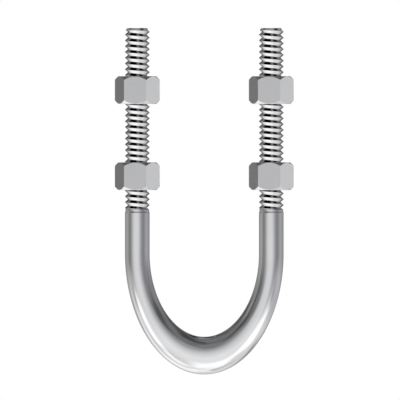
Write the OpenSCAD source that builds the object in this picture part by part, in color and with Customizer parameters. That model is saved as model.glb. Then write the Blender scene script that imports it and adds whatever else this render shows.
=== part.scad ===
// U-bolt with two nuts on each threaded leg, for clamping a pipe or a cable to a plate.
// Millimetres. Origin midway between the legs, on the plane where the straight legs meet the bow.
// +Z runs up the legs, X from the left leg to the right one.

/* [Rod] */
// Diameter of the rod that the legs and the bow are bent from
rod_d = 8; // [6:0.1:9]
// Distance between the centres of the two legs
leg_spacing = 43.4; // [36:0.1:60]
// Depth of the bow, from its top plane to the lowest point of its outside
bow_h = 39.2; // [28:0.1:45]
// Height of the plain part of each leg, up to the start of its thread
shank_h = 14.6; // [5:0.1:30]

/* [Thread] */
// Length of the thread on each leg
thread_l = 58.4; // [56:0.1:80]
// Rise of the thread in one turn
thread_pitch = 1.87; // [1.5:0.01:2.2]
// Depth of the thread from its crest to its root
thread_depth = 0.97; // [0.7:0.01:1.1]
// Hand of the thread
thread_hand = "left"; // [left, right]
// Direction, from +X, in which the crest line meets the plane of the leg's top
thread_angle = 125; // [5:15:350]
// Height over which the thread fades out at its lower end
runout_h = 1.6; // [1:0.1:2.5]
// Height of the chamfer where the plain leg steps down to the thread
shoulder_h = 1.2; // [0.8:0.1:2]
// Depth of the chamfer round the leg's top end
end_chamfer = 0.8; // [0.4:0.1:1.2]

/* [Nuts] */
// Width of a nut across its flats
nut_af = 12.7; // [12:0.1:16]
// Height of a nut
nut_h = 9; // [6:0.1:10]
// Height of the corner chamfer on both ends of a nut
nut_chamfer_h = 1.2; // [0.6:0.1:2]
// Width of the flat ring left between a nut's end face and its flats
nut_face_margin = 0.1; // [0.05:0.05:0.5]
// Depth of the chamfer at both mouths of a nut's bore
bore_chamfer = 0.4; // [0.1:0.1:0.6]
// Turn of each nut about its leg, from corners pointing along X
nut_turn = -6.2; // [-30:0.1:30]
// Radial clearance between a nut's bore and the thread
thread_clearance = 0.05; // [0.02:0.01:0.1]

/* [Nut places] */
// Height of the lower nuts above the start of the thread
lower_nut_up = 5.9; // [2:0.1:10]
// Space between a lower nut and the upper nut above it
clamp_gap = 18.9; // [6:0.1:24]

/* [Hidden] */

// facets round a full circle, and round one turn of the thread
smooth = 96;
turn_steps = 24;
// turns of thread above the leg's top, which the end cutter takes off
spare_turns = 2;
// how far inside the thread's root the shoulder ends, and how far the cutters reach past what they cut
shoulder_sink = 0.3;
cutter_margin = 2;

rod_r = rod_d / 2;
root_r = rod_r - thread_depth;
leg_x = leg_spacing / 2;
leg_h = shank_h + thread_l;
bow_stretch = bow_h / (leg_x + rod_r);
// height where the plain cylinder ends and its shoulder starts
shoulder_z = shank_h - shoulder_h;
// whole turns of thread from inside the shank to the leg's top
thread_turns = ceil((leg_h - shoulder_z) / thread_pitch) + 1;
// height of the thread's first root line, which puts a crest in the plane of the leg's top
thread_start = leg_h - (thread_turns + 1 / 2) * thread_pitch;

lower_nut_z = shank_h + lower_nut_up;
upper_nut_z = lower_nut_z + nut_h + clamp_gap;
nut_corner_r = nut_af / 2 / cos(30);
nut_face_r = nut_af / 2 - nut_face_margin;
bore_r = rod_r + thread_clearance;

// Points of a thread, two to a step: one on the root line and one on the crest line half a pitch above it.
// The thread starts at height z0, and its crest rises out of the root from the height fade_z on.
function thread_points(z0, turns, fade_z) =
    [for (k = [0 : turns * turn_steps], crest = [0, 1])
        let (z = z0 + thread_pitch * (k / turn_steps + crest / 2),
             a = 360 * k / turn_steps,
             rise = min(1, max(0, (z - fade_z) / runout_h)),
             r = root_r + crest * thread_depth * rise)
        [r * cos(a), r * sin(a), z]];

// A right-hand threaded rod as one closed skin. Each turn's upper root line is the next turn's lower one.
module thread_skin(z0, turns, fade_z) {
    grid = thread_points(z0, turns, fade_z);
    axis_points = [for (turn = [0.5, turns - 0.5]) [0, 0, z0 + turn * thread_pitch]];
    last = (turns - 1) * turn_steps;
    bottom = len(grid);
    top = bottom + 1;
    function root(k) = 2 * k;
    function crest(k) = 2 * k + 1;
    flanks = [for (k = [0 : last - 1]) each [
        [root(k), crest(k), root(k + 1)],
        [crest(k), crest(k + 1), root(k + 1)],
        [crest(k), root(k + turn_steps), crest(k + 1)],
        [root(k + turn_steps), root(k + turn_steps + 1), crest(k + 1)]]];
    bottom_cap = concat(
        [for (k = [0 : turn_steps - 1]) [bottom, root(k), root(k + 1)]],
        [[bottom, crest(0), root(0)], [bottom, root(turn_steps), crest(0)]]);
    top_cap = concat(
        [for (k = [last : last + turn_steps - 1]) [top, root(k + 1), root(k)]],
        [[top, root(last), crest(last)], [top, crest(last), root(last + turn_steps)]]);
    polyhedron(concat(grid, axis_points), concat(flanks, bottom_cap, top_cap));
}

// Cuts a leg's top end flat and chamfers its edge, taking off the spare turns.
module end_cutter() {
    out_r = rod_r + cutter_margin;
    top_r = rod_r - end_chamfer;
    up = (spare_turns + 1) * thread_pitch;
    rotate_extrude($fn = smooth)
        polygon([[0, 0], [top_r, 0], [out_r, top_r - out_r], [out_r, up], [0, up]]);
}

// Plain cylinder, a shoulder that narrows into the thread's root, and the thread itself.
module threaded_leg() {
    sunk_r = root_r - shoulder_sink;
    cylinder(h = shoulder_z, r = rod_r, $fn = smooth);
    translate([0, 0, shoulder_z])
        cylinder(h = shoulder_h * (rod_r - sunk_r) / thread_depth, r1 = rod_r, r2 = sunk_r, $fn = smooth);
    difference() {
        rotate([0, 0, thread_angle])
            mirror([0, thread_hand == "left" ? 1 : 0, 0])
            thread_skin(thread_start, thread_turns + spare_turns, shoulder_z);
        translate([0, 0, leg_h]) end_cutter();
    }
}

// Half ring, drawn out downwards until it is bow_h deep.
module bow() {
    scale([1, 1, bow_stretch])
        rotate([-90, 0, 0])
        rotate_extrude(angle = 180, $fn = smooth)
        translate([leg_x, 0])
        circle(r = rod_r, $fn = smooth);
}

module u_bolt() {
    color([0.78, 0.78, 0.80]) union() {
        bow();
        for (side = [-1, 1]) translate([side * leg_x, 0, 0]) threaded_leg();
    }
}

// Hexagon nut standing on z = 0, its corners turned down at both ends.
module hex_nut() {
    side_r = nut_corner_r + nut_face_margin;
    side_z = nut_chamfer_h * (side_r - nut_face_r) / (nut_corner_r - nut_face_r);
    mouth_r = bore_r + bore_chamfer;
    difference() {
        intersection() {
            cylinder(h = nut_h, r = nut_corner_r, $fn = 6);
            rotate_extrude($fn = smooth)
                polygon([[0, 0], [nut_face_r, 0], [side_r, side_z], [side_r, nut_h - side_z],
                         [nut_face_r, nut_h], [0, nut_h]]);
        }
        translate([0, 0, -cutter_margin])
            cylinder(h = nut_h + 2 * cutter_margin, r = bore_r, $fn = smooth);
        for (end = [0, 1]) translate([0, 0, end * nut_h]) mirror([0, 0, end])
            translate([0, 0, -bore_chamfer])
            cylinder(h = 2 * bore_chamfer, r1 = mouth_r + bore_chamfer, r2 = bore_r, $fn = smooth);
    }
}

module placed_nut(side, z) {
    translate([side * leg_x, 0, z]) rotate([0, 0, nut_turn]) hex_nut();
}

module left_lower_nut() {
    color([0.70, 0.70, 0.72]) placed_nut(-1, lower_nut_z);
}

module left_upper_nut() {
    color([0.70, 0.70, 0.72]) placed_nut(-1, upper_nut_z);
}

module right_lower_nut() {
    color([0.70, 0.70, 0.72]) placed_nut(1, lower_nut_z);
}

module right_upper_nut() {
    color([0.70, 0.70, 0.72]) placed_nut(1, upper_nut_z);
}

u_bolt();
left_lower_nut();
left_upper_nut();
right_lower_nut();
right_upper_nut();
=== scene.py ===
"""U-bolt with two nuts on each threaded leg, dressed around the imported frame.

Metres. Z runs up the legs, X from the left leg to the right one, and the camera looks along +Y.
"""

import math

import bmesh
import bpy
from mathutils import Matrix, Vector


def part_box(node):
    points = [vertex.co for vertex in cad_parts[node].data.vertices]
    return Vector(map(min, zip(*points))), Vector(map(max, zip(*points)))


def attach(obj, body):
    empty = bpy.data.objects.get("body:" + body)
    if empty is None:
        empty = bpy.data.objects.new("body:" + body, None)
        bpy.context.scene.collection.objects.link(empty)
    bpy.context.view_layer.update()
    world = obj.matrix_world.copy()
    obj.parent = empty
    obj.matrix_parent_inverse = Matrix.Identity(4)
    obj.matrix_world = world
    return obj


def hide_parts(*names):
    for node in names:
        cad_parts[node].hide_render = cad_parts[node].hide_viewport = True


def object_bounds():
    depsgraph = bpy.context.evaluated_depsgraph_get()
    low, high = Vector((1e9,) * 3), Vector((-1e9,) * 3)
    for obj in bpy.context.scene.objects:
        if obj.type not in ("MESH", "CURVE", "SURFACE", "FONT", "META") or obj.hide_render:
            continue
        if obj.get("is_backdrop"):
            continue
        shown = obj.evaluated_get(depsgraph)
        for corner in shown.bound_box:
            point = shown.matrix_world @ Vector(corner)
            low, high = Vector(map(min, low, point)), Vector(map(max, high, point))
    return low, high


MM = 0.001
SIDES = {"left": -1, "right": 1}
LEVELS = ("lower", "upper")

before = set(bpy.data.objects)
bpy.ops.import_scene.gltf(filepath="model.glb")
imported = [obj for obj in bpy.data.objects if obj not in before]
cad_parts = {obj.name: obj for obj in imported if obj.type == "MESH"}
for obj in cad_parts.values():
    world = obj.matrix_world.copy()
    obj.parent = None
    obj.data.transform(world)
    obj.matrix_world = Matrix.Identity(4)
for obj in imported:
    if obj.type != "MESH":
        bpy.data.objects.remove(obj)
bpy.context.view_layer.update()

# The rod's sizes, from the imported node's box.
rod_lo, rod_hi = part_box("u_bolt")
ROD_R = rod_hi.y
LEG_X = rod_hi.x - ROD_R
LEG_TOP = rod_hi.z
BOW_STRETCH = -rod_lo.z / (LEG_X + ROD_R)

# Steps round the rod, a thread and a nut, steps along the bow, and the plain shank's middle rings
# as shares of its height.
AROUND = 96
BOW_STEPS = 160
SHANK_RINGS = (0.6, 0.3)

# The thread, as the part's source has it. Its hand is -1 for left and 1 for right.
THREAD_HAND = -1
THREAD_L = 58.4 * MM
PITCH = 1.87 * MM
THREAD_DEPTH = 0.97 * MM
CREST_ANGLE = math.radians(125)
END_CHAMFER = 0.8 * MM
# Top of the plain shank, and radius of the leg's flat end.
SHANK_TOP = LEG_TOP - THREAD_L
END_R = ROD_R - END_CHAMFER
# Where the thread's skin ends inside the shank, and where and over what height its crest rises.
THREAD_BOTTOM = SHANK_TOP - 0.7 * MM
FADE_START = SHANK_TOP - 1.0 * MM
FADE_H = 0.9 * MM
# Half widths of the crest and the root as shares of the pitch, the rounded edges of both as shares
# of the depth, and the steps of each side between them.
CREST_FLAT = 0.03
ROOT_FLAT = 0.03
CREST_EDGE = 0.985
ROOT_EDGE = 0.02
FLANK_STEPS = 5
# Turns of skin above the leg's top, and turns above and below it in all, which the cuts take off.
TURNS_ABOVE = 2
SPARE_TURNS = 4
# How near a cut's plane a point counts as lying on it.
CUT_TOLERANCE = 1e-8
# The leg's end, where the groove is filled up to a cone: its height, and how much the cone widens
# for each step down.
END_BAND = 1.05 * MM
END_SLOPE = 0.45

# The plain leg's top: height from SHANK_TOP and radius, from its full width to the thread's core.
SHOULDER = [
    (-1.75, 4.000),
    (-1.45, 3.998),
    (-1.35, 3.985),
    (-1.18, 3.900),
    (-1.10, 3.875),
    (-0.95, 3.870),
    (-0.45, 3.860),
    (-0.35, 3.800),
    (0.05, 3.300),
    (0.40, 2.700),
]

# The nuts, as the part's source has them.
NUT_TURN = math.radians(-6.2)
NUT_AF = 12.7 * MM
NUT_CHAMFER_H = 1.2 * MM
NUT_FACE_R = 6.25 * MM
BORE_CLEARANCE = 0.05 * MM
BORE_CHAMFER = 0.4 * MM
BORE_R = ROD_R + BORE_CLEARANCE
MOUTH_R = BORE_R + BORE_CHAMFER
# The slightly lowered rim of a nut's end face: its width and its fall.
FACE_RIM_W = 0.25 * MM
FACE_RIM_H = 0.02 * MM
# The bevel on a nut's edges, and the angle from which an edge gets it.
BEVEL_W = 0.10 * MM
BEVEL_SEGMENTS = 2
BEVEL_FROM = math.radians(22)

# Edges sharper than these stay sharp.
BENT_SMOOTH = math.radians(28)
CUT_SMOOTH = math.radians(20)


# ---------------------------------------------------------------- meshes


def new_piece(name, bm, materials, smooth_angle):
    """A mesh object from a bmesh, smooth apart from edges sharper than smooth_angle."""
    bmesh.ops.recalc_face_normals(bm, faces=bm.faces)
    mesh = bpy.data.meshes.new(name)
    for face in bm.faces:
        face.smooth = True
    bm.to_mesh(mesh)
    bm.free()
    mesh.set_sharp_from_angle(angle=smooth_angle)
    for material in materials:
        mesh.materials.append(material)
    piece = bpy.data.objects.new(name, mesh)
    bpy.context.scene.collection.objects.link(piece)
    return piece


def ring_faces(bm, rings):
    """Quads between neighbouring closed rings of vertices."""
    made = []
    for lower, upper in zip(rings, rings[1:]):
        count = len(lower)
        for i in range(count):
            k = (i + 1) % count
            made.append(bm.faces.new((lower[i], lower[k], upper[k], upper[i])))
    return made


def rod_rings():
    """Part, side, place and radius of the rod's rings, from the left leg's top to the right one's.

    A leg's place is a height, and the bow's is an angle from the right leg's foot.
    """
    shank = [(SHANK_TOP + z * MM, r * MM) for z, r in reversed(SHOULDER)]
    shank += [(SHANK_TOP * share, ROD_R) for share in SHANK_RINGS]
    rings = [("leg", -1, z, r) for z, r in shank]
    rings += [("bow", None, math.pi * (1 - k / BOW_STEPS), ROD_R) for k in range(BOW_STEPS + 1)]
    rings += [("leg", 1, z, r) for z, r in reversed(shank)]
    return rings


def rod_point(ring, t):
    """A ring's point at angle t round the rod, 0 being the side away from the bow's middle."""
    kind, side, place, r = ring
    if kind == "leg":
        return (side * (LEG_X + r * math.cos(t)), r * math.sin(t), place)
    out = LEG_X + r * math.cos(t)
    return (out * math.cos(place), r * math.sin(t), -BOW_STRETCH * out * math.sin(place))


def build_rod(materials):
    """Both shanks and the bow as one tube. Its UV map is in metres, round the rod and along it."""
    bm = bmesh.new()
    uv = bm.loops.layers.uv.new("along")
    rings = [
        [bm.verts.new(rod_point(ring, 2 * math.pi * i / AROUND)) for i in range(AROUND)]
        for ring in rod_rings()
    ]
    run = [0.0]
    for a, b in zip(rings, rings[1:]):
        middle_a = sum((v.co for v in a), Vector()) / AROUND
        middle_b = sum((v.co for v in b), Vector()) / AROUND
        run.append(run[-1] + (middle_b - middle_a).length)
    for j, (a, b) in enumerate(zip(rings, rings[1:])):
        for i in range(AROUND):
            k = (i + 1) % AROUND
            face = bm.faces.new((a[i], a[k], b[k], b[i]))
            corners = [(i, j), (i + 1, j), (i + 1, j + 1), (i, j + 1)]
            for loop, (step, row) in zip(face.loops, corners):
                loop[uv].uv = (2 * math.pi * ROD_R * step / AROUND, run[row])
    for end in (rings[0], rings[-1]):
        bm.faces.new(end)
    return new_piece("rod", bm, materials, BENT_SMOOTH)


def thread_profile():
    """Samples of one pitch: share of the pitch below a crest, share of the thread's depth."""
    flank_w = 0.5 - CREST_FLAT - ROOT_FLAT
    half = [(0.0, 1.0)]
    for k in range(FLANK_STEPS):
        f = k / FLANK_STEPS
        half.append((CREST_FLAT + f * flank_w, CREST_EDGE - f * (CREST_EDGE - ROOT_EDGE)))
    half += [(0.5 - ROOT_FLAT, ROOT_EDGE), (0.5, 0.0)]
    return half + [(1 - p, d) for p, d in reversed(half[1:-1])]


def thread_radius(z, depth_share):
    """Radius of the thread's skin at a height. depth_share is 0 on the root and 1 on the crest."""
    rise = min(1.0, max(0.0, (z - FADE_START) / FADE_H))
    chamfer_r = END_R + max(LEG_TOP - z, -TURNS_ABOVE * PITCH)
    r = min(ROD_R - THREAD_DEPTH + THREAD_DEPTH * depth_share * rise, chamfer_r)
    if z > LEG_TOP - END_BAND:
        r = max(r, END_R + END_SLOPE * (LEG_TOP - z))
    return r


def add_thread_skin(bm):
    """Columns of vertices down the thread, joined by quads. The last meets the first a turn on."""
    profile = thread_profile()
    turns = math.ceil((LEG_TOP - THREAD_BOTTOM) / PITCH) + SPARE_TURNS
    columns = []
    for i in range(AROUND):
        angle = 2 * math.pi * i / AROUND
        lead = PITCH * (angle - CREST_ANGLE) / (2 * math.pi)
        column = []
        for n in range(turns):
            for p, depth_share in profile:
                z = LEG_TOP + TURNS_ABOVE * PITCH + THREAD_HAND * lead - PITCH * (n + p)
                r = thread_radius(z, depth_share)
                column.append(bm.verts.new((r * math.cos(angle), r * math.sin(angle), z)))
        columns.append(column)
    rows = len(profile) * turns
    for i in range(AROUND):
        last = i == AROUND - 1
        shift = -THREAD_HAND * len(profile) if last else 0
        left, right = columns[i], columns[0 if last else i + 1]
        for j in range(rows - 1):
            a, b = j + shift, j + 1 + shift
            if 0 <= a and b < rows:
                bm.faces.new((left[j], left[j + 1], right[b], right[a]))


def cut_flat(bm, height, side):
    """Takes off what lies above a height (side 1) or below it (side -1), and closes the hole."""
    cut = bmesh.ops.bisect_plane(
        bm,
        geom=list(bm.verts) + list(bm.edges) + list(bm.faces),
        dist=CUT_TOLERANCE,
        plane_co=(0, 0, height),
        plane_no=(0, 0, side),
        clear_outer=True,
    )
    rim = [e for e in cut["geom_cut"] if isinstance(e, bmesh.types.BMEdge) and e.is_boundary]
    bmesh.ops.contextual_create(bm, geom=rim)


def build_thread(name, materials):
    """One leg's thread about its own axis, chamfered at the top and fading out at the bottom."""
    bm = bmesh.new()
    add_thread_skin(bm)
    cut_flat(bm, LEG_TOP, 1)
    cut_flat(bm, THREAD_BOTTOM, -1)
    loose = [v for v in bm.verts if not v.link_faces]
    bmesh.ops.delete(bm, geom=loose, context="VERTS")
    return new_piece(name, bm, materials, CUT_SMOOTH)


def hex_radius(angle):
    """Distance from a nut's axis to its side in a direction. Unturned, corners point along X."""
    sixth = math.pi / 3
    # A hair more than the angle, so that rounding can't put a corner in the wrong sixth.
    off = ((angle - NUT_TURN + 1e-9) % sixth) - sixth / 2
    return NUT_AF / 2 / math.cos(off)


def build_nut(name, height, materials):
    """A nut standing on z = 0 about its own axis: flats, turned ends and a countersunk bore."""
    angles = [2 * math.pi * i / AROUND + NUT_TURN for i in range(AROUND)]
    corner_r = NUT_AF / 2 / math.cos(math.pi / 6)
    slope = NUT_CHAMFER_H / (corner_r - NUT_FACE_R)
    bm = bmesh.new()

    def point(r, angle, z):
        return bm.verts.new((r * math.cos(angle), r * math.sin(angle), z))

    def circle(r, z):
        return [point(r, a, z) for a in angles]

    def hexagon(z_of):
        return [point(hex_radius(a), a, z_of(a)) for a in angles]

    def drop(angle):
        return slope * (hex_radius(angle) - NUT_FACE_R)

    turned_low = [
        circle(BORE_R, BORE_CHAMFER),
        circle(MOUTH_R, 0),
        circle(NUT_FACE_R - FACE_RIM_W, 0),
        circle(NUT_FACE_R, FACE_RIM_H),
        hexagon(drop),
    ]
    flats = [
        turned_low[-1],
        hexagon(lambda a: height / 2),
        hexagon(lambda a: height - drop(a)),
    ]
    turned_high = [
        flats[-1],
        circle(NUT_FACE_R, height - FACE_RIM_H),
        circle(NUT_FACE_R - FACE_RIM_W, height),
        circle(MOUTH_R, height),
        circle(BORE_R, height - BORE_CHAMFER),
    ]
    bore = [turned_high[-1], turned_low[0]]
    for rings, slot_index in ((turned_low, 1), (flats, 0), (turned_high, 1), (bore, 1)):
        for face in ring_faces(bm, rings):
            face.material_index = slot_index
    piece = new_piece(name, bm, materials, CUT_SMOOTH)
    bevel = piece.modifiers.new("edges", "BEVEL")
    bevel.width = BEVEL_W
    bevel.segments = BEVEL_SEGMENTS
    bevel.limit_method = "ANGLE"
    bevel.angle_limit = BEVEL_FROM
    bevel.harden_normals = True
    return piece


# ---------------------------------------------------------------- nodes

NOISE_ROUGHNESS = 0.55


class Tree:
    """Short calls for building a node tree. A value may be a number, a tuple or a socket."""

    def __init__(self, tree):
        self.tree = tree
        tree.nodes.clear()

    def node(self, kind, **settings):
        made = self.tree.nodes.new(kind)
        for key, value in settings.items():
            setattr(made, key, value)
        return made

    def put(self, socket, value):
        if isinstance(value, bpy.types.NodeSocket):
            self.tree.links.new(value, socket)
        else:
            socket.default_value = value

    def math(self, operation, *values):
        made = self.node("ShaderNodeMath", operation=operation)
        for socket, value in zip(made.inputs, values):
            self.put(socket, value)
        return made.outputs[0]

    def vector_math(self, operation, *values):
        """The node itself, because DOT_PRODUCT and LENGTH answer on its Value socket."""
        made = self.node("ShaderNodeVectorMath", operation=operation)
        for socket, value in zip(made.inputs, values):
            self.put(socket, value)
        return made

    def split(self, vector):
        made = self.node("ShaderNodeSeparateXYZ")
        self.put(made.inputs[0], vector)
        return made.outputs

    def ease(self, value, start, end, low=0.0, high=1.0):
        """Goes smoothly from low at start to high at end."""
        made = self.node("ShaderNodeMapRange", interpolation_type="SMOOTHSTEP")
        self.put(made.inputs["Value"], value)
        made.inputs["From Min"].default_value = start
        made.inputs["From Max"].default_value = end
        made.inputs["To Min"].default_value = low
        made.inputs["To Max"].default_value = high
        return made.outputs[0]

    def band(self, value, fade_in, fade_out):
        """1 between two fades, 0 outside them."""
        return self.math("MULTIPLY", self.ease(value, *fade_in), self.ease(value, *fade_out))

    def mix(self, factor, a, b, blend="MIX"):
        """A mixed colour. A Mix node keeps its colours on inputs 6 and 7 and output 2."""
        made = self.node("ShaderNodeMix", data_type="RGBA", blend_type=blend)
        self.put(made.inputs[0], factor)
        self.put(made.inputs[6], a)
        self.put(made.inputs[7], b)
        return made.outputs[2]

    def mix_vector(self, factor, a, b):
        """A mixed vector. A Mix node keeps its vectors on inputs 4 and 5 and output 1."""
        made = self.node("ShaderNodeMix", data_type="VECTOR")
        self.put(made.inputs[0], factor)
        self.put(made.inputs[4], a)
        self.put(made.inputs[5], b)
        return made.outputs[1]

    def ramp(self, value, stops):
        made = self.node("ShaderNodeValToRGB")
        elements = made.color_ramp.elements
        while len(elements) < len(stops):
            elements.new(0.5)
        for element, (place, colour) in zip(elements, stops):
            element.position = place
            element.color = colour
        self.put(made.inputs[0], value)
        return made.outputs[0]

    def noise(self, vector, scale, detail):
        made = self.node("ShaderNodeTexNoise")
        self.put(made.inputs["Vector"], vector)
        made.inputs["Scale"].default_value = scale
        made.inputs["Detail"].default_value = detail
        made.inputs["Roughness"].default_value = NOISE_ROUGHNESS
        return made.outputs["Fac"]

    def scaled(self, vector, scale):
        made = self.node("ShaderNodeMapping")
        self.put(made.inputs["Vector"], vector)
        made.inputs["Scale"].default_value = scale
        return made.outputs[0]

    def bump(self, height, distance, strength):
        made = self.node("ShaderNodeBump")
        made.inputs["Strength"].default_value = strength
        made.inputs["Distance"].default_value = distance
        self.put(made.inputs["Height"], height)
        return made.outputs[0]


def grey(level, tint=(1.0, 1.0, 1.0)):
    """A colour whose screen brightness is level, 0 to 255, times a tint."""
    share = level / 255
    linear = share / 12.92 if share <= 0.04045 else ((share + 0.055) / 1.055) ** 2.4
    return (linear * tint[0], linear * tint[1], linear * tint[2], 1.0)


# ---------------------------------------------------------------- materials

WHITE = (1, 1, 1, 1)
# Noise scales are in cycles per metre: round the rod and along it, across a nut and up it, or the
# same all ways. A pair holds the two values or colours that a noise or a fade runs between.

# The polished rod: drawing lines, smudges, and worn marks on the inside of the bow.
LINE_SCALE = (9000, 160, 1)
LINE_SPAN = (0.35, 0.65)
LINE_COLOUR = (0.975, 0.975, 0.975, 1)
LINE_BUMP = 0.0004 * MM
LINE_BUMP_STRENGTH = 1.0
SMUDGE_SCALE = 130
SMUDGE_SPAN = (0.35, 0.7)
SMUDGE_COLOURS = ((0.93, 0.93, 0.935, 1), (0.96, 0.96, 0.965, 1))
WORN_SCALE = (1700, 60, 1)
WORN_SPAN = (0.48, 0.60)
WORN_COLOUR = (0.66, 0.66, 0.66, 1)
# How far round the rod from the bow's inside the marks reach, and the heights where they set in.
WORN_REACH = (5.2 * MM, 3.2 * MM)
WORN_HEIGHT = (-3 * MM, -11 * MM)
ROD_ROUGH = 0.01
ROD_ROUGH_SMUDGE = 0.06
ROD_ROUGH_LINES = 0.05
ROD_EDGE = (0.6, 0.6, 0.6, 1)

# The thread's sides that face up: between which heights of the normal their look fades in and out,
# and how far their shading leans towards straight up.
FLANK_IN = (0.35, 0.5)
FLANK_OUT = (0.97, 0.9)
FLANK_LEAN = 0.485
# The chamfer at the leg's end: where its look fades in, how far below END_BAND it starts, its
# shading's rise for each step outwards, and how much rougher it is.
END_IN = (0.2, 0.3)
END_MARGIN = 0.1 * MM
END_RISE = 1.48
END_ROUGH = 0.14
# The thread's grain, colours, roughness and edge tints. The second pair of colours is painted
# shade: a darker colour for the sides that face up.
THREAD_GRAIN_SCALE = 900
THREAD_COLOURS = ((0.94, 0.94, 0.945, 1), (0.98, 0.98, 0.985, 1))
FLANK_SHADE_COLOURS = ((0.88, 0.88, 0.89, 1), (0.93, 0.93, 0.94, 1))
THREAD_ROUGH = (0.04, 0.08)
THREAD_EDGE = (0.1, 0.1, 0.1, 1)
FLANK_EDGE = (0.35, 0.35, 0.35, 1)

# The end faces of legs and nuts: between which heights of the normal they fade in, and how much
# less metallic they are.
END_FACE_IN = (0.93, 0.98)
END_FACE_MATTE = 0.7

# The nuts: satin sides, and turned ends with rings a set distance apart.
GRAIN_SPAN = (0.3, 0.7)
FLAT_GRAIN_SCALE = (2600, 2600, 900)
FLAT_TONE_SCALE = 120
FLAT_COLOURS = ((0.612, 0.614, 0.628, 1), (0.626, 0.628, 0.642, 1))
FLAT_GRAIN_COLOUR = (0.975, 0.975, 0.975, 1)
FLAT_METALLIC = 0.2
FLAT_ROUGH = (0.40, 0.52)
FLAT_BUMP = 0.004 * MM
FLAT_BUMP_STRENGTH = 0.6
RING_SPACING = 0.22 * MM
TURNED_GRAIN_SCALE = 1400
TURNED_COLOURS = ((0.86, 0.86, 0.87, 1), (0.92, 0.92, 0.93, 1))
TURNED_ROUGH = (0.18, 0.30)
RING_BUMP = 0.002 * MM
RING_BUMP_STRENGTH = 0.5


def metal(name):
    """A material with a Principled shader ready to be filled."""
    material = bpy.data.materials.new(name)
    material.use_nodes = True
    tree = Tree(material.node_tree)
    shader = tree.node("ShaderNodeBsdfPrincipled")
    output = tree.node("ShaderNodeOutputMaterial")
    tree.put(output.inputs["Surface"], shader.outputs[0])
    shader.inputs["Metallic"].default_value = 1.0
    return material, tree, shader


def soften_end_faces(tree, shader, facing_up):
    """Makes the faces that look straight up less metallic."""
    end_face = tree.ease(facing_up, *END_FACE_IN)
    matte = tree.math("MULTIPLY", end_face, END_FACE_MATTE)
    tree.put(shader.inputs["Metallic"], tree.math("SUBTRACT", 1.0, matte))


def polished_steel():
    """Drawn and polished rod: faint lines along it, soft smudges, and worn marks inside the bow."""
    material, tree, shader = metal("polished_steel")
    along = tree.node("ShaderNodeUVMap", uv_map="along").outputs[0]
    place = tree.node("ShaderNodeTexCoord").outputs["Object"]
    lines = tree.noise(tree.scaled(along, LINE_SCALE), 1.0, detail=3.0)
    marks = tree.noise(tree.scaled(along, WORN_SCALE), 1.0, detail=3.0)
    smudge = tree.noise(place, SMUDGE_SCALE, detail=3.0)
    # The map's first coordinate is 0 on the bow's outside and half the rod's girth on its inside.
    off_inside = tree.math("SUBTRACT", tree.split(along)[0], math.pi * ROD_R)
    inside = tree.ease(tree.math("ABSOLUTE", off_inside), *WORN_REACH)
    low_down = tree.ease(tree.split(place)[2], *WORN_HEIGHT)
    bent = tree.math("MULTIPLY", inside, low_down)
    worn = tree.math("MULTIPLY", bent, tree.ease(marks, *WORN_SPAN))
    base = tree.mix(tree.ease(smudge, *SMUDGE_SPAN), *SMUDGE_COLOURS)
    base = tree.mix(worn, base, WORN_COLOUR)
    shade = tree.ramp(lines, list(zip(LINE_SPAN, (LINE_COLOUR, WHITE))))
    tree.put(shader.inputs["Base Color"], tree.mix(1.0, base, shade, "MULTIPLY"))
    smudge_rough = tree.math("MULTIPLY", smudge, ROD_ROUGH_SMUDGE)
    line_rough = tree.math("MULTIPLY", lines, ROD_ROUGH_LINES)
    rough = tree.math("ADD", smudge_rough, line_rough)
    tree.put(shader.inputs["Roughness"], tree.math("ADD", rough, ROD_ROUGH))
    tree.put(shader.inputs["Normal"], tree.bump(lines, LINE_BUMP, LINE_BUMP_STRENGTH))
    shader.inputs["Specular Tint"].default_value = ROD_EDGE
    return material


def thread_steel():
    """Cut thread: bright crests and undersides, and sides that face up painted darker, as shade.

    Those sides and the end's chamfer are shaded as if they were flatter than they are.
    """
    material, tree, shader = metal("thread_steel")
    place = tree.node("ShaderNodeTexCoord").outputs["Object"]
    surface = tree.node("ShaderNodeNewGeometry")
    facing_up = tree.split(surface.outputs["True Normal"])[2]
    height = tree.split(place)[2]
    at_end = tree.math("GREATER_THAN", height, LEG_TOP - END_BAND - END_MARGIN)
    below_end = tree.math("SUBTRACT", 1.0, at_end)
    flank = tree.math("MULTIPLY", tree.band(facing_up, FLANK_IN, FLANK_OUT), below_end)
    end = tree.math("MULTIPLY", tree.band(facing_up, END_IN, FLANK_OUT), at_end)
    grain = tree.noise(place, THREAD_GRAIN_SCALE, detail=4.0)
    steel = tree.mix(grain, *THREAD_COLOURS)
    # Painted shade: the sides that face up take the darker colours.
    flank_painted_shade = tree.mix(grain, *FLANK_SHADE_COLOURS)
    tree.put(shader.inputs["Base Color"], tree.mix(flank, steel, flank_painted_shade))
    soften_end_faces(tree, shader, facing_up)
    rough = tree.ease(grain, *GRAIN_SPAN, *THREAD_ROUGH)
    end_rough = tree.math("MULTIPLY", end, END_ROUGH)
    tree.put(shader.inputs["Roughness"], tree.math("ADD", rough, end_rough))
    edge = tree.mix(flank, THREAD_EDGE, FLANK_EDGE)
    tree.put(shader.inputs["Specular Tint"], tree.mix(end, edge, WHITE))

    normal = surface.outputs["Normal"]
    lean = tree.node("ShaderNodeCombineXYZ")
    tree.put(lean.inputs["Z"], tree.math("MULTIPLY", flank, FLANK_LEAN))
    leaning = tree.vector_math("ADD", normal, lean.outputs[0]).outputs[0]
    outward = tree.vector_math("NORMALIZE", tree.scaled(normal, (1, 1, 0))).outputs[0]
    rising = tree.vector_math("ADD", outward, (0, 0, END_RISE)).outputs[0]
    shaded = tree.vector_math("NORMALIZE", tree.mix_vector(end, leaning, rising))
    tree.put(shader.inputs["Normal"], shaded.outputs[0])
    return material


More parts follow.
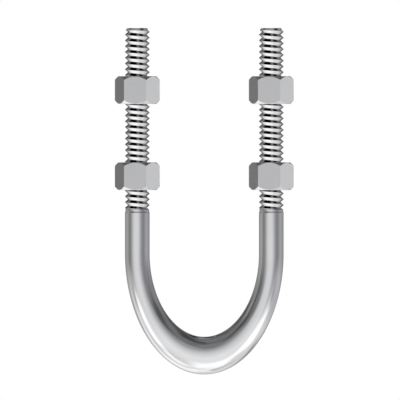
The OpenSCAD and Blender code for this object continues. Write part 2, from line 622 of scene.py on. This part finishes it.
def nut_flats():
    """Satin sides of a nut: fine upright grain and slight changes of tone."""
    material, tree, shader = metal("nut_flats")
    place = tree.node("ShaderNodeTexCoord").outputs["Object"]
    grain = tree.noise(tree.scaled(place, FLAT_GRAIN_SCALE), 1.0, detail=5.0)
    tone = tree.noise(place, FLAT_TONE_SCALE, detail=2.0)
    base = tree.mix(tone, *FLAT_COLOURS)
    shade = tree.ramp(grain, list(zip(GRAIN_SPAN, (FLAT_GRAIN_COLOUR, WHITE))))
    tree.put(shader.inputs["Base Color"], tree.mix(1.0, base, shade, "MULTIPLY"))
    shader.inputs["Metallic"].default_value = FLAT_METALLIC
    tree.put(shader.inputs["Roughness"], tree.ease(grain, *GRAIN_SPAN, *FLAT_ROUGH))
    tree.put(shader.inputs["Normal"], tree.bump(grain, FLAT_BUMP, FLAT_BUMP_STRENGTH))
    return material


def nut_turned():
    """Turned ends of a nut: brighter metal with fine rings about its axis."""
    material, tree, shader = metal("nut_turned")
    place = tree.node("ShaderNodeTexCoord").outputs["Object"]
    radius = tree.vector_math("LENGTH", tree.scaled(place, (1, 1, 0))).outputs["Value"]
    rings = tree.math("SINE", tree.math("MULTIPLY", radius, 2 * math.pi / RING_SPACING))
    grain = tree.noise(place, TURNED_GRAIN_SCALE, detail=4.0)
    tree.put(shader.inputs["Base Color"], tree.mix(grain, *TURNED_COLOURS))
    surface = tree.node("ShaderNodeNewGeometry")
    soften_end_faces(tree, shader, tree.split(surface.outputs["True Normal"])[2])
    tree.put(shader.inputs["Roughness"], tree.ease(grain, *GRAIN_SPAN, *TURNED_ROUGH))
    tree.put(shader.inputs["Normal"], tree.bump(rings, RING_BUMP, RING_BUMP_STRENGTH))
    return material


# ---------------------------------------------------------------- pieces

# No piece shows in another's reflection: mirrored rays pass through to the studio in the world.

polished = polished_steel()
threaded = thread_steel()
flats = nut_flats()
turned = nut_turned()

rod = build_rod([polished])
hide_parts("u_bolt")
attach(rod, "u_bolt")
rod.visible_glossy = False

for side_name, side in SIDES.items():
    thread = build_thread(side_name + "_thread", [threaded])
    thread.location = (side * LEG_X, 0, 0)
    thread.visible_glossy = False
    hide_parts("u_bolt")
    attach(thread, "u_bolt")
    for level in LEVELS:
        node_name = f"{side_name}_{level}_nut"
        nut_lo, nut_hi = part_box(node_name)
        nut = build_nut(f"{side_name}_{level}_nut_dressed", nut_hi.z - nut_lo.z, [flats, turned])
        nut.location = (side * LEG_X, 0, nut_lo.z)
        nut.visible_glossy = False
        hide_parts(node_name)
        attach(nut, node_name)


# ---------------------------------------------------------------- studio

# Tints of the studio's light.
PLAIN = (1.0, 1.0, 1.0)
WARM = (1.0, 1.0, 0.97)
COOL = (0.975, 0.98, 1.035)
FROST = (0.99, 0.995, 1.01)
SKY = (0.93, 1.0, 1.06)
HAZE = (0.985, 1.0, 1.02)
# Azimuth round the horizon, the brightness there and its tint.
HORIZON = [
    (-180, 156, PLAIN),
    (-134, 163, PLAIN),
    (-95, 161, PLAIN),
    (-86, 126, WARM),
    (-61, 138, WARM),
    (-50, 171, WARM),
    (-32, 211, FROST),
    (-12, 217, FROST),
    (4, 214, FROST),
    (15, 199, FROST),
    (25, 184, COOL),
    (35, 154, COOL),
    (54, 132, COOL),
    (66, 135, COOL),
    (89, 165, COOL),
    (118, 162, COOL),
    (180, 156, PLAIN),
]
# Azimuth, elevation, half width, half height, softness, brightness and tint of each card. A card
# lies over those before it.
CARDS = [
    # Above the horizon, in front and at the sides.
    (-44, 20, 15, 12, 9, 120, HAZE),
    (-69, 18, 8, 9, 6, 94, PLAIN),
    (-53, 33, 9, 9, 7, 76, PLAIN),
    (-87, 29, 7, 7, 6, 150, PLAIN),
    (-5, 45, 11, 6, 6, 132, SKY),
    (-38, 40, 8, 5, 4, 88, PLAIN),
    (60, 27, 22, 8, 7, 88, PLAIN),
    (93, 13, 18, 8, 6, 132, COOL),
    (12, 27, 7, 3, 4, 156, PLAIN),
    (-18, 67, 9, 5, 5, 124, HAZE),
    (16, 58, 12, 4, 4, 92, SKY),
    (12, 67, 6, 3.5, 3, 85, SKY),
    (48, 66, 10, 6, 6, 68, SKY),
    (77, 61, 20, 9, 8, 73, PLAIN),
    # Above the horizon, behind.
    (131, 41, 8, 18, 8, 68, PLAIN),
    (132, 68, 8, 7, 6, 74, PLAIN),
    (-130, 28, 8, 12, 7, 72, PLAIN),
    (-138, 60, 8, 14, 8, 84, PLAIN),
    (-115, 42, 9, 6, 6, 86, PLAIN),
    (-103, 21, 6, 7, 5, 152, PLAIN),
    # Below the horizon, in front and at the sides.
    (2, -18, 17, 13, 8, 232, FROST),
    (-27, -21, 11, 7, 6, 228, FROST),
    (-79, -13, 13, 6, 4, 177, PLAIN),
    (-54, -52, 12, 12, 6, 258, PLAIN),
    (-84, -57, 10, 17, 8, 207, PLAIN),
    (-54, -25, 13, 12, 4, 265, PLAIN),
    (-80, -37, 7, 7, 6, 204, PLAIN),
    (44, -28, 19, 12, 6, 265, PLAIN),
    (65, -11, 12, 6, 4, 168, COOL),
    (12, -49, 18, 16, 8, 265, PLAIN),
    # Below the horizon, behind and underneath.
    (-122, -56, 17, 18, 9, 255, PLAIN),
    (-112, -32, 13, 9, 8, 244, PLAIN),
    (-60, -81, 30, 9, 6, 256, PLAIN),
    (122, -39, 18, 12, 9, 200, HAZE),
    (124, -37, 14, 2, 5, 152, HAZE),
    (72, -68, 14, 9, 8, 192, HAZE),
    (62, -79, 7, 4, 4, 182, HAZE),
    (22, -62, 13, 6, 5, 255, PLAIN),
    (-12, -69, 7, 4, 5, 224, PLAIN),
    (100, -16, 26, 8, 8, 182, COOL),
    (-132, -17, 12, 8, 7, 178, PLAIN),
    # Overhead, and behind where the thread's upward sides mirror them.
    (0, 90, 8, 8, 4, 118, SKY),
    (180, 29, 26, 13, 6, 136, PLAIN),
    (162, 51, 4, 9, 1, 29, PLAIN),
    (170, 59, 2.5, 4, 1, 116, PLAIN),
    (-171, 53, 6.2, 10, 1, 0, PLAIN),
    # Touches over the earlier ones.
    (152, -24, 12, 12, 8, 150, PLAIN),
    (130, -66, 17, 9, 7, 224, PLAIN),
    (-117, 56, 6, 5, 5, 77, PLAIN),
    (-35, -40, 4, 7, 4, 207, PLAIN),
    # Behind, where the chamfers at the legs' ends mirror them.
    (180, 67, 9, 4, 3, 172, PLAIN),
    (-152, 59, 2.5, 5, 1, 172, PLAIN),
    (156, 39, 2, 5, 1, 168, PLAIN),
    (-154, 47, 3.2, 4.2, 2, 0, PLAIN),
    (153, 54, 4, 6, 2.5, 0, PLAIN),
]
# Brightness of the ceiling, the ground and the spot straight below, and the sines of the elevations
# between which each sets in.
CEILING_LEVEL = 114
CEILING_IN = (-0.03, 0.64)
GROUND_LEVEL = 218
GROUND_IN = (-0.02, -0.33)
BELOW_LEVEL = 244
BELOW_IN = (-0.98, -0.995)
# The even light that matt surfaces get from all sides.
AMBIENT = (0.15, 0.15, 0.15, 1)
# Azimuth, elevation, level and angle across of each lamp.
LAMPS = {
    "key": (38, 5, 0.86, 10),
    "back_fill": (170, 35, 0.45, 30),
}
LAMP_DISTANCE = 0.5
# The floor: radii of its rings, steps round it, its colour, and its glow to the camera.
FLOOR_RINGS = (0.1, 0.4, 1.5, 3.0)
FLOOR_STEPS = 64
FLOOR_COLOUR = (0.55, 0.55, 0.55, 1)
FLOOR_GLOW = 0.70
# The camera: width of its view, its distance, and how far left of and above the middle it aims.
VIEW_W = 129.56 * MM
CAMERA_DISTANCE = 0.6
AIM_LEFT = 1.39 * MM
AIM_UP = 0.4 * MM


def direction(azimuth, elevation):
    """Unit vector towards an azimuth and an elevation. 0 is the camera's side, and 90 the right."""
    a, e = math.radians(azimuth), math.radians(elevation)
    return Vector((math.sin(a) * math.cos(e), -math.cos(a) * math.cos(e), math.sin(e)))


def card_mask(tree, ray, azimuth, elevation, half_w, half_h, soft):
    """1 inside a soft-edged studio card, 0 outside. Places and sizes are angles in degrees."""
    centre = direction(azimuth, elevation)
    right = direction(azimuth + 90, 0)
    up = direction(azimuth, elevation + 90)
    masks = []
    for axis, half in ((right, half_w), (up, half_h)):
        inner = math.sin(math.radians(max(half - soft, 0)))
        outer = math.sin(math.radians(min(half + soft, 90)))
        off_centre = tree.vector_math("DOT_PRODUCT", ray, tuple(axis)).outputs["Value"]
        masks.append(tree.ease(tree.math("ABSOLUTE", off_centre), inner, outer, 1.0, 0.0))
    towards = tree.vector_math("DOT_PRODUCT", ray, tuple(centre)).outputs["Value"]
    in_front = tree.math("GREATER_THAN", towards, 0.0)
    return tree.math("MULTIPLY", tree.math("MULTIPLY", *masks), in_front)


def build_world():
    """Metal mirrors a studio of cards, the camera sees white, and matt surfaces are lit evenly."""
    world = bpy.data.worlds.new("studio")
    bpy.context.scene.world = world
    world.use_nodes = True
    tree = Tree(world.node_tree)
    ray = tree.node("ShaderNodeTexCoord").outputs["Generated"]
    x, y, z = tree.split(ray)
    turn = tree.math("ARCTAN2", x, tree.math("MULTIPLY", y, -1.0))
    share_round = tree.math("ADD", tree.math("DIVIDE", turn, 2 * math.pi), 0.5)
    stops = [((azimuth + 180) / 360, grey(level, tint)) for azimuth, level, tint in HORIZON]
    horizon = tree.ramp(share_round, stops)
    seen = tree.mix(tree.ease(z, *CEILING_IN), horizon, grey(CEILING_LEVEL, HAZE))
    seen = tree.mix(tree.ease(z, *GROUND_IN), seen, grey(GROUND_LEVEL))
    for azimuth, elevation, half_w, half_h, soft, level, tint in CARDS:
        mask = card_mask(tree, ray, azimuth, elevation, half_w, half_h, soft)
        seen = tree.mix(mask, seen, grey(level, tint))
    seen = tree.mix(tree.ease(z, *BELOW_IN), seen, grey(BELOW_LEVEL))

    path = tree.node("ShaderNodeLightPath").outputs
    backdrop = tree.math("MAXIMUM", path["Is Camera Ray"], path["Is Transmission Ray"])
    lighting = tree.mix(path["Is Glossy Ray"], AMBIENT, seen)
    background = tree.node("ShaderNodeBackground")
    tree.put(background.inputs["Color"], tree.mix(backdrop, lighting, WHITE))
    output = tree.node("ShaderNodeOutputWorld")
    tree.put(output.inputs["Surface"], background.outputs[0])


def build_floor():
    """A pale round sheet under the bow. It glows enough to show as white and keeps a shadow."""
    bm = bmesh.new()
    angles = [2 * math.pi * i / FLOOR_STEPS for i in range(FLOOR_STEPS)]
    rings = [
        [bm.verts.new((r * math.cos(a), r * math.sin(a), 0)) for a in angles]
        for r in FLOOR_RINGS
    ]
    ring_faces(bm, rings)
    bm.faces.new(rings[0])
    material = bpy.data.materials.new("pale_floor")
    material.use_nodes = True
    tree = Tree(material.node_tree)
    path = tree.node("ShaderNodeLightPath").outputs
    shown = tree.math("MAXIMUM", path["Is Camera Ray"], path["Is Glossy Ray"])
    shown = tree.math("MAXIMUM", shown, path["Is Transmission Ray"])
    matte = tree.node("ShaderNodeBsdfDiffuse")
    matte.inputs["Color"].default_value = FLOOR_COLOUR
    glow = tree.node("ShaderNodeEmission")
    tree.put(glow.inputs["Strength"], tree.math("MULTIPLY", shown, FLOOR_GLOW))
    both = tree.node("ShaderNodeAddShader")
    tree.put(both.inputs[0], matte.outputs[0])
    tree.put(both.inputs[1], glow.outputs[0])
    output = tree.node("ShaderNodeOutputMaterial")
    tree.put(output.inputs["Surface"], both.outputs[0])
    floor = new_piece("floor", bm, [material], BENT_SMOOTH)
    floor.location = (0, 0, rod_lo.z)
    floor.visible_glossy = False
    floor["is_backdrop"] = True


def build_lamp(name, azimuth, elevation, level, angle):
    """A soft distant lamp. A white surface facing it shows at level."""
    light = bpy.data.lights.new(name, "SUN")
    light.energy = level * math.pi
    light.angle = math.radians(angle)
    lamp = bpy.data.objects.new(name, light)
    lamp.rotation_mode = "QUATERNION"
    lamp.rotation_quaternion = direction(azimuth, elevation).to_track_quat("Z", "Y")
    lamp.location = direction(azimuth, elevation) * LAMP_DISTANCE
    lamp.visible_glossy = False
    bpy.context.scene.collection.objects.link(lamp)


def build_camera():
    """Looks straight along +Y without perspective, with the object a little right of the middle."""
    low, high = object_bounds()
    middle = (low + high) / 2
    data = bpy.data.cameras.new("camera")
    data.type = "ORTHO"
    data.ortho_scale = VIEW_W
    camera = bpy.data.objects.new("camera", data)
    camera.location = (middle.x - AIM_LEFT, -CAMERA_DISTANCE, middle.z + AIM_UP)
    camera.rotation_euler = (math.pi / 2, 0, 0)
    bpy.context.scene.collection.objects.link(camera)
    bpy.context.scene.camera = camera


build_world()
build_floor()
for lamp_name, lamp_values in LAMPS.items():
    build_lamp(lamp_name, *lamp_values)
build_camera()
bpy.context.scene.view_settings.view_transform = "Standard"
